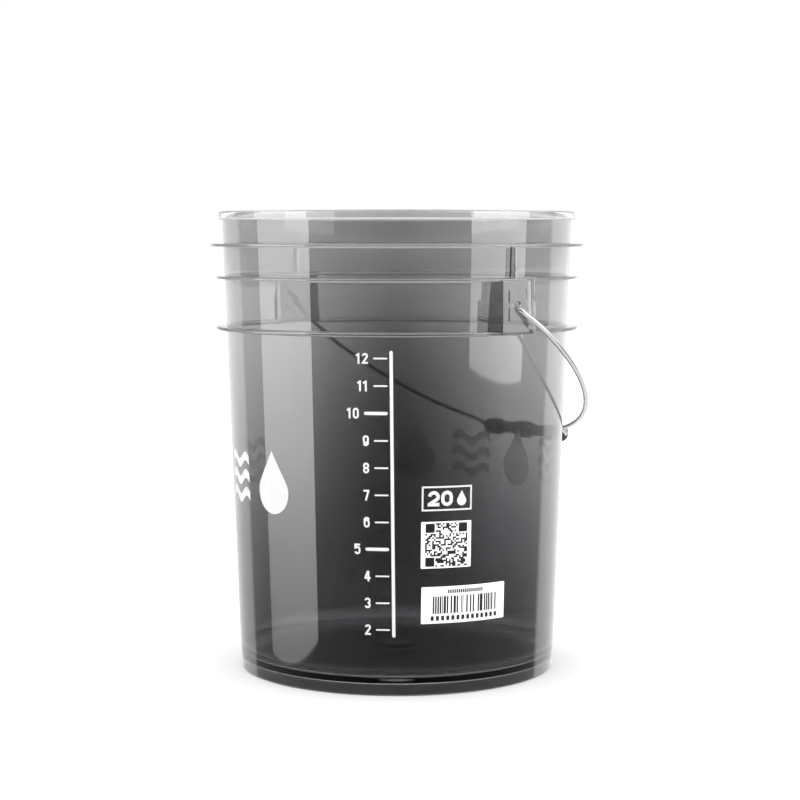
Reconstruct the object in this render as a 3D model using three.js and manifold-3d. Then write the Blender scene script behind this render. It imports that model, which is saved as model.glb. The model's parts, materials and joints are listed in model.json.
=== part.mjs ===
// A 20 litre see-through plastic bucket with a steel wire bail handle and a loose hand grip.
// Millimetres, +Z up. The origin is the centre of the foot, on the surface the bucket stands on.
// The two handle ears lie on the X axis. At rest the handle hangs down on the +Y side.
import * as THREE from "three";
import { mergeVertices } from "three/addons/utils/BufferGeometryUtils.js";
import Module from "manifold-3d";

const wasm = await Module();
wasm.setup();

// ---- driving dimensions ----
const HEIGHT = 368.5; // foot to top of rim
const FOOT_RADIUS = 127.4; // outside of the wall at its foot
const DRAFT = 0.0373; // how much the wall's radius grows with each millimetre of height
const WALL = 2.2; // wall thickness
const ROUND_STEPS = 72; // facets around the bucket

const floorPlate = { under: 9.5, top: 12.5, corner: 8 };
const foot = { width: 3.0, cornerRadius: 1.5, innerDraft: 0.3 };
const gate = { radius: 17, rise: 4, slope: 2, skin: 3 }; // raised disc in the middle of the floor
const rim = { radius: 143.6, depth: 6.7, round: 1.0 };
const lidRing = { z: 341.8, thickness: 2.3, radius: 150.2 };
const upperRing = { z: 316.0, thickness: 2.3, radius: 145.9 };
const lowerRing = { z: 275.7, thickness: 2.9, radius: 146.25 };
const RING_ROUND = 0.6; // rounding of a ring's outer edge

const ear = {
  face: 147.0, // distance of the flat front plate from the bucket's axis
  plate: 2.8, // thickness of the front plate
  halfWidth: 15, // of the front plate
  footHalfWidth: 27, // where the sloping sides meet the wall
  side: 2.4, // thickness of the sloping sides
  slotWidth: 7,
  slotHeight: 8.6,
  slotZ: 295.8,
  padHalfWidth: 8.65, // a shallow pad around the slot
  padLow: 285,
  padHigh: 308.4,
  padRise: 0.5,
};
const rib = { thickness: 3, tip: 145.4 }; // upright rib above each ear

const wire = { radius: 2, sides: 12, bend: 4 };
const bail = {
  pivotZ: 294.1,
  hang: THREE.MathUtils.degToRad(38), // the handle's plane below the horizontal at rest
  armX: 150, // where an arm leaves the ear
  hookX: 141.6, // the hooked end's own line, behind the plate
  hookLength: 11.5,
  shoulder: [154, 29], // where the straight arm turns into the arch: x, and distance from the pivot
  archRise: 151, // of the elliptical arch beyond the shoulders
  seatHalf: 48, // half the straight seat that the grip turns on
  seatReach: 180, // from the pivot axis to the seat
  kneeX: 54.5, // where the arch ends and the step down to the seat starts
};
const grip = {
  half: 46, // half its length
  bore: 2.6,
  strap: 5.2, // outer radius of the half-round strap between the collars
  collar: 6.8, // radius of the two end collars
  collarLength: 16,
  middle: 7.1, // radius of the middle collar
  middleHalf: 8,
  round: 0.8, // rounding of the collars' edges
  steps: 24,
};
const label = { gap: 0.3, thickness: 0.2 };
const instructionLabel = { from: -30.4, to: -13.1, low: 98.6, high: 134.3 }; // degrees and heights
const barcodeLabel = { from: -30.2, to: 0.9, low: 56.0, high: 84.3 };

// ---- solids and booleans ----
function solidOf(geometry) {
  const bare = geometry.clone();
  bare.deleteAttribute("normal");
  bare.deleteAttribute("uv");
  const merged = mergeVertices(bare, 1e-4);
  const index = merged.index.array;
  const kept = [];
  for (let i = 0; i < index.length; i += 3) {
    const [a, b, c] = index.slice(i, i + 3);
    if (a !== b && b !== c && c !== a) kept.push(a, b, c);
  }
  const vertProperties = new Float32Array(merged.attributes.position.array);
  return new wasm.Manifold(
    new wasm.Mesh({ numProp: 3, vertProperties, triVerts: new Uint32Array(kept) }),
  );
}

function geometryOf(solid) {
  const mesh = solid.getMesh();
  const geometry = new THREE.BufferGeometry();
  const stride = mesh.numProp;
  const positions = new Float32Array(mesh.numVert * 3);
  for (let i = 0; i < mesh.numVert; i++) {
    positions.set(mesh.vertProperties.subarray(i * stride, i * stride + 3), i * 3);
  }
  geometry.setAttribute("position", new THREE.BufferAttribute(positions, 3));
  geometry.setIndex(new THREE.BufferAttribute(mesh.triVerts, 1));
  geometry.computeVertexNormals();
  return geometry;
}

// A profile of [radius, height] pairs spun about +Z. It runs up the outside and down the inside.
function spun(profile, steps) {
  const points = profile.map(([radius, height]) => new THREE.Vector2(radius, height));
  return new THREE.LatheGeometry(points, steps).rotateX(Math.PI / 2);
}

// An outline in the XY plane, stood up between two heights.
function upright(outline, low, high) {
  const shape = new THREE.Shape(outline.map(([x, y]) => new THREE.Vector2(x, y)));
  const block = new THREE.ExtrudeGeometry(shape, { depth: high - low, bevelEnabled: false });
  return block.translate(0, 0, low);
}

// ---- bucket ----
const wallRadius = (z) => FOOT_RADIUS + DRAFT * z;
const innerRadius = (z) => wallRadius(z) - WALL;

// Points of a quarter circle about (cx, cy), from one angle to another in degrees.
function arc(cx, cy, radius, from, to, steps) {
  return Array.from({ length: steps + 1 }, (_, i) => {
    const angle = THREE.MathUtils.degToRad(from + ((to - from) * i) / steps);
    return [cx + radius * Math.cos(angle), cy + radius * Math.sin(angle)];
  });
}

function ringProfile({ z, thickness, radius }) {
  const low = z - thickness / 2;
  const high = z + thickness / 2;
  return [
    [wallRadius(low), low],
    [radius - RING_ROUND, low],
    [radius, low + RING_ROUND],
    [radius, high - RING_ROUND],
    [radius - RING_ROUND, high],
    [wallRadius(high), high],
  ];
}

function shellProfile() {
  const footInside = FOOT_RADIUS - foot.width;
  const roundX = FOOT_RADIUS - foot.cornerRadius;
  const rimLow = HEIGHT - rim.depth;
  const cornerZ = floorPlate.top + floorPlate.corner;
  const cornerX = innerRadius(cornerZ) - floorPlate.corner;
  return [
    [0, floorPlate.under + gate.rise],
    [gate.radius - gate.skin, floorPlate.under + gate.rise],
    [gate.radius - gate.skin + gate.slope, floorPlate.under],
    [footInside - foot.innerDraft, floorPlate.under],
    [footInside, 0],
    ...arc(roundX, foot.cornerRadius, foot.cornerRadius, -90, 0, 3),
    ...ringProfile(lowerRing),
    ...ringProfile(upperRing),
    ...ringProfile(lidRing),
    [wallRadius(rimLow), rimLow],
    [rim.radius - rim.round, rimLow],
    [rim.radius, rimLow + rim.round],
    [rim.radius, HEIGHT - rim.round],
    [rim.radius - rim.round, HEIGHT],
    [innerRadius(HEIGHT) + rim.round, HEIGHT],
    [innerRadius(HEIGHT), HEIGHT - rim.round],
    ...arc(cornerX, cornerZ, floorPlate.corner, 0, -90, 5),
    [gate.radius + gate.slope, floorPlate.top],
    [gate.radius, floorPlate.top + gate.rise],
    [0, floorPlate.top + gate.rise],
  ];
}

// A cone frustum as wide as the given radius function, used to trim what meets the wall.
function coneSolid(radiusAt, low, high) {
  const profile = [[0, low], [radiusAt(low), low], [radiusAt(high), high], [0, high]];
  return solidOf(spun(profile, ROUND_STEPS));
}

function slotSolid() {
  const radius = ear.slotWidth / 2;
  const lift = ear.slotHeight / 2 - radius;
  const shape = new THREE.Shape();
  shape.absarc(0, lift, radius, 0, Math.PI, false);
  shape.absarc(0, -lift, radius, Math.PI, 2 * Math.PI, false);
  const depth = 3 * ear.plate;
  const cut = new THREE.ExtrudeGeometry(shape, { depth, bevelEnabled: false, curveSegments: 10 });
  cut.rotateX(Math.PI / 2).rotateZ(Math.PI / 2);
  return solidOf(cut.translate(ear.face - 2 * ear.plate, 0, ear.slotZ));
}

// The ear on the +X side: a flat plate on sloping sides between the two lower rings, hollow behind.
function earSolid() {
  const middleOfWall = coneSolid((z) => wallRadius(z) - WALL / 2, 250, 350);
  const outsideOfWall = coneSolid(wallRadius, 250, 350);
  const footX = Math.sqrt(wallRadius(ear.slotZ) ** 2 - ear.footHalfWidth ** 2);
  const rootX = footX - 8;
  const back = ear.face - ear.plate;
  const slope = (ear.face - footX) / (ear.footHalfWidth - ear.halfWidth);
  const innerHalf = ear.halfWidth - 0.4;
  const innerFootHalf = innerHalf + (back - rootX) / slope;
  const outerFootHalf = ear.halfWidth + (ear.face - rootX) / slope;
  const outer = [
    [rootX, -outerFootHalf], [ear.face, -ear.halfWidth], [ear.face, ear.halfWidth], [rootX, outerFootHalf],
  ];
  const inner = [
    [rootX, ear.side - innerFootHalf], [back, ear.side - innerHalf],
    [back, innerHalf - ear.side], [rootX, innerFootHalf - ear.side],
  ];
  const pad = [
    [back + 1, -ear.padHalfWidth], [ear.face + ear.padRise, -ear.padHalfWidth],
    [ear.face + ear.padRise, ear.padHalfWidth], [back + 1, ear.padHalfWidth],
  ];
  const pocketLow = lowerRing.z - lowerRing.thickness; // so the pocket is open underneath
  const pocketHigh = upperRing.z - upperRing.thickness / 2;
  const block = solidOf(upright(outer, lowerRing.z, upperRing.z)).subtract(middleOfWall);
  const pocket = solidOf(upright(inner, pocketLow, pocketHigh)).subtract(outsideOfWall);
  const ribRoot = wallRadius(upperRing.z) - WALL / 2;
  const ribLine = [
    [ribRoot, -rib.thickness / 2], [rib.tip, -rib.thickness / 2],
    [rib.tip, rib.thickness / 2], [ribRoot, rib.thickness / 2],
  ];
  const uprightRib = solidOf(upright(ribLine, upperRing.z, lidRing.z)).subtract(middleOfWall);
  return {
    added: block.add(solidOf(upright(pad, ear.padLow, ear.padHigh))).add(uprightRib),
    removed: pocket.add(slotSolid()),
  };
}

function bucketGeometry() {
  const { added, removed } = earSolid();
  let body = solidOf(spun(shellProfile(), ROUND_STEPS));
  for (const turn of [0, 180]) {
    body = body.add(added.rotate([0, 0, turn])).subtract(removed.rotate([0, 0, turn]));
  }
  return geometryOf(body);
}

// ---- bail handle ----
// A curve through chosen stations, with one extrusion step from each station to the next.
class StationPath extends THREE.Curve {
  constructor(stations) {
    super();
    this.stations = stations;
  }

  getPoint(t, target = new THREE.Vector3()) {
    const last = this.stations.length - 1;
    const at = THREE.MathUtils.clamp(t, 0, 1) * last;
    const i = Math.min(Math.floor(at), last - 1);
    return target.lerpVectors(this.stations[i], this.stations[i + 1], at - i);
  }

  getUtoTmapping(u) {
    return u;
  }
}

// One half of the handle as [x, reach] pairs, from the hooked end behind the +X ear to the seat.
function halfBail() {
  const [shoulderX, shoulderReach] = bail.shoulder;
  const kneeReach = shoulderReach + bail.archRise * Math.sqrt(1 - (bail.kneeX / shoulderX) ** 2);
  const kneeAngle = Math.acos(bail.kneeX / shoulderX);
  const archTangent = new THREE.Vector2(Math.sin(kneeAngle) * shoulderX, -Math.cos(kneeAngle) * bail.archRise);
  archTangent.normalize();
  const smooth = (start, leave, arrive, end, steps) =>
    new THREE.CubicBezierCurve(
      ...[start, leave, arrive, end].map(([x, y]) => new THREE.Vector2(x, y)),
    ).getPoints(steps).map((p) => [p.x, p.y]);
  const knee = [bail.kneeX, kneeReach];
  const seatEnd = [bail.seatHalf, bail.seatReach];
  const hook = [
    [bail.hookX, -bail.hookLength],
    ...arc(bail.hookX + wire.bend, -wire.bend, wire.bend, 180, 90, 5),
  ];
  const leave = arc(bail.armX - wire.bend, wire.bend, wire.bend, -90, 0, 5);
  const arm = smooth(
    [bail.armX, wire.bend], [bail.armX, 12], [shoulderX, 16], [shoulderX, shoulderReach], 5,
  );
  const arch = Array.from({ length: 16 }, (_, i) => {
    const angle = (kneeAngle * (i + 1)) / 16;
    return [shoulderX * Math.cos(angle), shoulderReach + bail.archRise * Math.sin(angle)];
  });
  const step = smooth(
    knee,
    [knee[0] - 5 * archTangent.x, knee[1] - 5 * archTangent.y],
    [seatEnd[0] + 5, seatEnd[1]],
    seatEnd,
    7,
  );
  return [...hook, ...leave, ...arm.slice(1), ...arch, ...step.slice(1)];
}

function bailGeometry() {
  const half = halfBail();
  const whole = [...half, ...half.map(([x, reach]) => [-x, reach]).reverse()];
  const stations = whole.map(
    ([x, reach]) =>
      new THREE.Vector3(x, reach * Math.cos(bail.hang), bail.pivotZ - reach * Math.sin(bail.hang)),
  );
  const section = new THREE.Shape();
  for (let i = 0; i < wire.sides; i++) {
    const angle = (2 * Math.PI * i) / wire.sides;
    const corner = [wire.radius * Math.cos(angle), wire.radius * Math.sin(angle)];
    if (i === 0) section.moveTo(...corner);
    else section.lineTo(...corner);
  }
  return new THREE.ExtrudeGeometry(section, {
    steps: stations.length - 1,
    bevelEnabled: false,
    extrudePath: new StationPath(stations),
  });
}

// Three collars on the wire, joined by a half-round strap on the side that faces the pivot.
// The wire's line is X here, and +Y points away from the pivot.
function gripGeometry() {
  const { half, bore, strap, collar, collarLength, middle, middleHalf, round, steps } = grip;
  const gapEnd = half - collarLength;
  const right = [
    [middle, 0],
    [middle, middleHalf - round],
    [middle - round, middleHalf],
    [strap, middleHalf],
    [strap, gapEnd],
    [collar - round, gapEnd],
    [collar, gapEnd + round],
    [collar, half - round],
    [collar - round, half],
    [bore, half],
  ];
  const left = right.map(([radius, x]) => [radius, -x]).reverse();
  const outline = [...left, ...right.slice(1), [bore, -half]];
  let sleeve = solidOf(spun(outline, steps).rotateY(Math.PI / 2));
  for (const [from, to] of [[-gapEnd, -middleHalf], [middleHalf, gapEnd]]) {
    const opening = [[from, 0], [to, 0], [to, 2 * middle], [from, 2 * middle]];
    sleeve = sleeve.subtract(solidOf(upright(opening, -2 * middle, 2 * middle)));
  }
  return geometryOf(sleeve);
}

// ---- labels ----
// A thin sheet bent round the wall and leaning with it, between two angles in degrees.
function labelGeometry({ from, to, low, high }) {
  const inside = wallRadius(low) + label.gap;
  const [start, end] = [from, to].map(THREE.MathUtils.degToRad);
  const band = new THREE.Shape();
  band.absarc(0, 0, inside + label.thickness, start, end, false);
  band.absarc(0, 0, inside, end, start, true);
  const sheet = new THREE.ExtrudeGeometry(band, {
    depth: high - low,
    bevelEnabled: false,
    curveSegments: 12,
  });
  const places = sheet.attributes.position;
  for (let i = 0; i < places.count; i++) {
    const grow = 1 + (DRAFT * places.getZ(i)) / inside;
    places.setXYZ(i, places.getX(i) * grow, places.getY(i) * grow, places.getZ(i) + low);
  }
  return sheet;
}

// ---- materials and assembly ----
const smokedPlastic = new THREE.MeshStandardMaterial({
  color: 0x4a4a4c, roughness: 0.12, metalness: 0, transparent: true, opacity: 0.55,
});
const platedSteel = new THREE.MeshStandardMaterial({ color: 0xc9c6c2, roughness: 0.25, metalness: 1 });
const blackPlastic = new THREE.MeshStandardMaterial({ color: 0x18181a, roughness: 0.5, metalness: 0 });
const labelPaper = new THREE.MeshStandardMaterial({ color: 0xf4f4f2, roughness: 0.6, metalness: 0 });

function named(name, geometry, material) {
  const mesh = new THREE.Mesh(geometry, material);
  mesh.name = name;
  return mesh;
}

const bucket = named("bucket_moulding", bucketGeometry(), smokedPlastic);
const bailWire = named("bail_wire", bailGeometry(), platedSteel);
const handGrip = named("hand_grip", gripGeometry(), blackPlastic);
handGrip.position.set(
  0,
  bail.seatReach * Math.cos(bail.hang),
  bail.pivotZ - bail.seatReach * Math.sin(bail.hang),
);
handGrip.rotation.x = -bail.hang;
const instructions = named("instruction_label", labelGeometry(instructionLabel), labelPaper);
const barcode = named("barcode_label", labelGeometry(barcodeLabel), labelPaper);

const assembly = new THREE.Group();
assembly.add(bucket, bailWire, handGrip, instructions, barcode);

export default assembly;
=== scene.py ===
import json
import math
import bpy
import bmesh
from mathutils import Matrix, Vector


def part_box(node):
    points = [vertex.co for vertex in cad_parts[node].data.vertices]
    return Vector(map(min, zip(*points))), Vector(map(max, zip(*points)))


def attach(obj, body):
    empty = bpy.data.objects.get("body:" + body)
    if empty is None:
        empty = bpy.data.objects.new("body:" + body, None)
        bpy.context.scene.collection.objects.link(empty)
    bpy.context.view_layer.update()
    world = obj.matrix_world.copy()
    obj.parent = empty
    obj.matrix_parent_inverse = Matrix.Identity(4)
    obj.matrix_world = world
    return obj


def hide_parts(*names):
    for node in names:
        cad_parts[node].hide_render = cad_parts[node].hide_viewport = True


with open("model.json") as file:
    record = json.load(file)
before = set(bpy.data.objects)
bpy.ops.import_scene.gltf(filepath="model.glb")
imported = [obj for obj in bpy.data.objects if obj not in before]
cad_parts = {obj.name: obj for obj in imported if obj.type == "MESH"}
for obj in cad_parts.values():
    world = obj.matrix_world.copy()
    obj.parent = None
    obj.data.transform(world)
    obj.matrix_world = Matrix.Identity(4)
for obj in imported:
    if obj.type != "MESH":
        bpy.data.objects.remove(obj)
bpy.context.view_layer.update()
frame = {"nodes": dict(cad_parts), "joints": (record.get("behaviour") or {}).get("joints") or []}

mm = 0.001
bucketLow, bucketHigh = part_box("bucket_moulding")
joints = {joint["name"]: joint for joint in frame["joints"]}
pivot = Vector(joints["bail_swing"]["pos_m"])
seat = Vector(joints["grip_spin"]["pos_m"])
print("frame loaded")


# Small helpers.
def linearColour(hexValue):
    parts = [int(hexValue[i:i + 2], 16) / 255 for i in (0, 2, 4)]
    return [p / 12.92 if p <= 0.04045 else ((p + 0.055) / 1.055) ** 2.4 for p in parts] + [1.0]


def addNode(tree, kind, inputs=None, **settings):
    node = tree.nodes.new(kind)
    for key, value in settings.items():
        setattr(node, key, value)
    for key, value in (inputs or {}).items():
        if isinstance(value, bpy.types.NodeSocket):
            tree.links.new(value, node.inputs[key])
        else:
            node.inputs[key].default_value = value
    return node


def newMaterial(name):
    material = bpy.data.materials.new(name)
    material.use_nodes = True
    material.node_tree.nodes.clear()
    return material, material.node_tree


def newObject(name, mesh, material=None):
    piece = bpy.data.objects.new(name, mesh)
    bpy.context.scene.collection.objects.link(piece)
    if material:
        mesh.materials.clear()
        mesh.materials.append(material)
    return piece


def meshFrom(name, points, edges=(), faces=()):
    mesh = bpy.data.meshes.new(name)
    mesh.from_pydata([tuple(p) for p in points], list(edges), list(faces))
    mesh.update()
    return mesh


def geometryTree(name, numbers):  # a tree with one geometry input, then named numbers
    tree = bpy.data.node_groups.new(name, "GeometryNodeTree")
    tree.interface.new_socket(name="Geometry", in_out="INPUT", socket_type="NodeSocketGeometry")
    for label, kind in numbers.items():
        tree.interface.new_socket(name=label, in_out="INPUT", socket_type="NodeSocket" + kind)
    tree.interface.new_socket(name="Geometry", in_out="OUTPUT", socket_type="NodeSocketGeometry")
    return tree, addNode(tree, "NodeGroupInput").outputs


def endTree(tree, geometry, material):  # every tree ends in plain, painted geometry
    real = addNode(tree, "GeometryNodeRealizeInstances", {0: geometry})
    painted = addNode(tree, "GeometryNodeSetMaterial", {0: real.outputs[0], 2: material})
    addNode(tree, "NodeGroupOutput", {0: painted.outputs[0]})


def grown(name, tree, start, values):  # runs a tree on a mesh and keeps the result as a plain mesh
    holder = newObject(name + "Start", start)
    modifier = holder.modifiers.new("Nodes", "NODES")
    modifier.node_group = tree
    for item in tree.interface.items_tree:
        if item.in_out == "INPUT" and item.name in values:
            modifier[item.identifier] = values[item.name]
    bpy.context.view_layer.update()
    shown = holder.evaluated_get(bpy.context.evaluated_depsgraph_get())
    mesh = bpy.data.meshes.new_from_object(shown)
    mesh.name = name
    bpy.data.objects.remove(holder)
    return mesh


def edited(mesh, edit):
    work = bmesh.new()
    work.from_mesh(mesh)
    edit(work)
    work.to_mesh(mesh)
    work.free()
    mesh.update()
    return mesh


def tidied(mesh, smoothAngle=40):
    def clean(work):
        bmesh.ops.remove_doubles(work, verts=work.verts, dist=0.002 * mm)
        bmesh.ops.recalc_face_normals(work, faces=work.faces)
    edited(mesh, clean)
    mesh.shade_smooth()
    mesh.set_sharp_from_angle(angle=math.radians(smoothAngle))
    return mesh


def throughModifiers(name, mesh, modifiers, helpers=()):  # each modifier is (kind, settings)
    piece = newObject(name + "Working", mesh)
    for kind, settings in modifiers:
        modifier = piece.modifiers.new(kind, kind)
        for key, value in settings.items():
            setattr(modifier, key, value)
    bpy.context.view_layer.update()
    shown = piece.evaluated_get(bpy.context.evaluated_depsgraph_get())
    result = bpy.data.meshes.new_from_object(shown)
    result.name = name
    for used in [piece, *helpers]:
        bpy.data.objects.remove(used)
    return result


def carved(name, mesh, cuts):  # joins and cuts solids: cuts is a list of (operation, mesh)
    helpers = [newObject(name + "Cutter", cutter) for operation, cutter in cuts]
    modifiers = [("BOOLEAN", {"operation": operation, "solver": "MANIFOLD", "object": helper})
                 for (operation, cutter), helper in zip(cuts, helpers)]
    return throughModifiers(name, mesh, modifiers, helpers)


def withBevel(name, mesh, width, segments=3, angle=30):
    return throughModifiers(name, mesh, [("BEVEL", {
        "width": width, "segments": segments, "limit_method": "ANGLE",
        "angle_limit": math.radians(angle)})])


def evenlyShaded(name, mesh):  # large flat faces keep their own normals, so that they refract flat
    return throughModifiers(name, tidied(mesh), [("WEIGHTED_NORMAL", {
        "mode": "FACE_AREA", "weight": 50, "keep_sharp": True})])


def setStops(ramp, stops):  # stops is a list of (share, colour)
    elements = ramp.color_ramp.elements
    for spare in list(elements)[1:]:
        elements.remove(spare)
    for i, (share, colour) in enumerate(stops):
        stop = elements[0] if i == 0 else elements.new(share)
        stop.position = share
        stop.color = colour


def arc(cx, cy, radius, start, end, steps):
    angles = [math.radians(start + (end - start) * i / steps) for i in range(steps + 1)]
    return [(cx + radius * math.cos(a), cy + radius * math.sin(a)) for a in angles]


def prism(outline, low, high):  # an outline in the XY plane, stood up between two heights
    count = len(outline)
    points = [(x, y, low) for x, y in outline] + [(x, y, high) for x, y in outline]
    sides = [(i, (i + 1) % count, (i + 1) % count + count, i + count) for i in range(count)]
    caps = [tuple(reversed(range(count))), tuple(range(count, 2 * count))]
    return meshFrom("prism", points, faces=sides + caps)


# The stage: camera, two softboxes, room and floor.
cameraSet = {
    "azimuth": -38.3,  # degrees round the bucket from +X
    "distance": 1615.8 * mm,
    "height": 349.8 * mm,
    "pitch": 4.745,  # degrees below the horizontal
    "yaw": -0.089,
    "lens": 89.5,
}

# Turns are degrees round the bucket from the camera's side, and go to the camera's right.
# Every glow is beside the white that the eye sees, which is 1. They are set for this view.
softboxSet = {
    "left": {"turn": -77.4, "distance": 1.5, "width": 1.17, "low": -0.37, "high": 1.5,
             "glow": 5.2, "dimmer": 0.5, "fade": 0.17, "fadeTo": 0.5},
    "right": {"turn": 67.8, "distance": 1.5, "width": 1.15, "low": 0.052, "high": 1.6,
              "glow": 3.4, "dimmer": 0.95, "fade": 0.01, "fadeTo": 0.95},
}

roomSet = {
    "walls": [  # turn and glow of the room, as gloss shows it
        (-180, 1.1), (-150, 1.1), (-128, 1.3), (-124, 0.4), (-100, 0.35), (-58, 0.15), (-13, 0.04),
        (12, 0.04), (45, 0.1), (90, 0.25), (119, 0.4), (124, 1.7), (150, 1.4), (180, 1.1),
    ],
    "wallTop": 0.3, "ceilingStart": 0.55,  # as shares of straight up or down
    "ceiling": 1.2, "daylight": 3.0,
}


def placeRound(turn, distance, height):
    angle = math.radians(cameraSet["azimuth"] + turn)
    return Vector((distance * math.cos(angle), distance * math.sin(angle), height))


def makeSoftbox(side):  # a tall light that only gloss shows, dimmer to its foot and to one side
    s = softboxSet[side]
    middle, tall = (s["low"] + s["high"]) / 2, s["high"] - s["low"]
    light = bpy.data.lights.new(side + "Softbox", "AREA")
    light.shape = "RECTANGLE"
    light.size, light.size_y = s["width"], tall
    light.energy = math.pi * s["width"] * tall
    light.use_nodes = True
    tree = light.node_tree
    tree.nodes.clear()
    across = addNode(tree, "ShaderNodeSeparateXYZ",
                     {0: addNode(tree, "ShaderNodeNewGeometry").outputs["Parametric"]})
    sideways = addNode(tree, "ShaderNodeMapRange",
                       {0: across.outputs[0], 3: s["glow"] * s["dimmer"], 4: s["glow"]})
    upwards = addNode(tree, "ShaderNodeMapRange",
                      {0: across.outputs[1], 2: s["fade"], 3: s["fadeTo"], 4: 1.0})
    power = addNode(tree, "ShaderNodeMath", {0: sideways.outputs[0], 1: upwards.outputs[0]},
                    operation="MULTIPLY")
    glow = addNode(tree, "ShaderNodeEmission", {"Strength": power.outputs[0]})
    addNode(tree, "ShaderNodeOutputLight", {0: glow.outputs[0]})
    box = bpy.data.objects.new(side + "Softbox", light)
    bpy.context.scene.collection.objects.link(box)
    box.location = placeRound(s["turn"], s["distance"], middle)
    box.rotation_euler = (Vector((0, 0, middle)) - box.location).to_track_quat("-Z", "Y").to_euler()
    box.visible_diffuse = False
    box.visible_transmission = False


def makeRoom():  # white to the eye, brighter to matte surfaces
    world = bpy.data.worlds.new("studio")
    world.use_nodes = True
    bpy.context.scene.world = world
    tree = world.node_tree
    tree.nodes.clear()
    direction = addNode(tree, "ShaderNodeTexCoord").outputs["Generated"]
    turned = addNode(tree, "ShaderNodeVectorRotate",
                     {"Vector": direction, "Angle": -math.radians(cameraSet["azimuth"])},
                     rotation_type="Z_AXIS")
    parts = addNode(tree, "ShaderNodeSeparateXYZ", {0: turned.outputs[0]}).outputs
    angle = addNode(tree, "ShaderNodeMath", {0: parts[1], 1: parts[0]}, operation="ARCTAN2")
    share = addNode(tree, "ShaderNodeMapRange", {0: angle.outputs[0], 1: -math.pi, 2: math.pi})
    ramp = addNode(tree, "ShaderNodeValToRGB", {0: share.outputs[0]})
    brightest = max(glow for turn, glow in roomSet["walls"])
    setStops(ramp, [((turn + 180) / 360, [glow / brightest] * 3 + [1]) for turn, glow in roomSet["walls"]])
    walls = addNode(tree, "ShaderNodeMath", {0: ramp.outputs[0], 1: brightest}, operation="MULTIPLY")
    steep = addNode(tree, "ShaderNodeMath", {0: parts[2]}, operation="ABSOLUTE")
    above = addNode(tree, "ShaderNodeMapRange",
                    {0: steep.outputs[0], 1: roomSet["wallTop"], 2: roomSet["ceilingStart"]},
                    interpolation_type="SMOOTHSTEP")
    room = addNode(tree, "ShaderNodeMix",
                   {0: above.outputs[0], 2: walls.outputs[0], 3: roomSet["ceiling"]}, data_type="FLOAT")
    path = addNode(tree, "ShaderNodeLightPath").outputs
    seen = addNode(tree, "ShaderNodeMath",
                   {0: path["Is Camera Ray"], 1: path["Is Transmission Ray"]}, operation="MAXIMUM")
    toEye = addNode(tree, "ShaderNodeMix", {0: seen.outputs[0], 2: room.outputs[0], 3: 1.0},
                    data_type="FLOAT")
    glow = addNode(tree, "ShaderNodeMix",
                   {0: path["Is Diffuse Ray"], 2: toEye.outputs[0], 3: roomSet["daylight"]},
                   data_type="FLOAT")
    sky = addNode(tree, "ShaderNodeBackground", {"Color": (1, 1, 1, 1), "Strength": glow.outputs[0]})
    addNode(tree, "ShaderNodeOutputWorld", {"Surface": sky.outputs[0]})


def makeStage():
    scene = bpy.context.scene
    camera = bpy.data.objects.new("camera", bpy.data.cameras.new("camera"))
    scene.collection.objects.link(camera)
    camera.data.lens = cameraSet["lens"]
    camera.location = placeRound(0, cameraSet["distance"], cameraSet["height"])
    camera.rotation_euler = (
        math.radians(90 - cameraSet["pitch"]), 0,
        math.radians(90 + cameraSet["azimuth"] + cameraSet["yaw"]),
    )
    scene.camera = camera
    scene.view_settings.view_transform = "Standard"
    makeRoom()
    for side in softboxSet:
        makeSoftbox(side)
    material, tree = newMaterial("floor_matte_white")
    matte = addNode(tree, "ShaderNodeBsdfDiffuse", {"Color": (0.5, 0.5, 0.5, 1)})
    addNode(tree, "ShaderNodeOutputMaterial", {"Surface": matte.outputs[0]})
    reach = 12.0
    corners = [(-reach, -reach, 0), (reach, -reach, 0), (reach, reach, 0), (-reach, reach, 0)]
    floor = newObject("floor", meshFrom("floor", corners, faces=[(0, 1, 2, 3)]), material)
    floor.visible_glossy = False
    print("stage ready")


# Smoke-tinted polycarbonate, injection moulded and polished: clear, dark and glossy like glass,
# with faint flow lines and fine wiping marks. Its tint carries painted shade and painted light:
# darkest in the lower half, paler towards the top, on the floor plate, on the rim and where the
# wall turns away from the eye.
plasticSet = {
    "paintedFaceTints": [  # height and tint where the wall faces the eye; painted shade makes it darkest low on the wall, painted light makes it paler on the floor plate and towards the top
        (0, "8A8A8C"), (8.5 * mm, "8A8A8C"), (10 * mm, "D2D2D4"), (14 * mm, "C6C6C8"),
        (24 * mm, "717173"), (50 * mm, "606062"), (80 * mm, "58585A"),
        (120 * mm, "555557"), (150 * mm, "58585A"), (188 * mm, "5E5E60"), (226 * mm, "6E6E70"),
        (264 * mm, "838384"), (304 * mm, "989899"), (336 * mm, "ADADAE"),
    ],
    # the paler tints where the wall turns away from the eye are painted light
    "paintedSideTints": [
        (0, "8C8C8E"), (8.5 * mm, "8C8C8E"), (10 * mm, "D2D2D4"), (14 * mm, "C6C6C8"),
        (24 * mm, "6C6C6E"), (50 * mm, "737375"), (74 * mm, "7E7E80"), (112 * mm, "8B8B8D"),
        (188 * mm, "AFAFB0"), (264 * mm, "C4C4C5"), (336 * mm, "C8C8C9"),
    ],
    # the rim's near-white tint is painted light on the rim; the two turned values shape the painted light
    # at the sides
    "rimPaintedLight": "F6F6F6", "turnedAway": 0.25, "turnedEase": 0.6, "ior": 1.585, "shadowTint": "D2D2D3",
}


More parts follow.
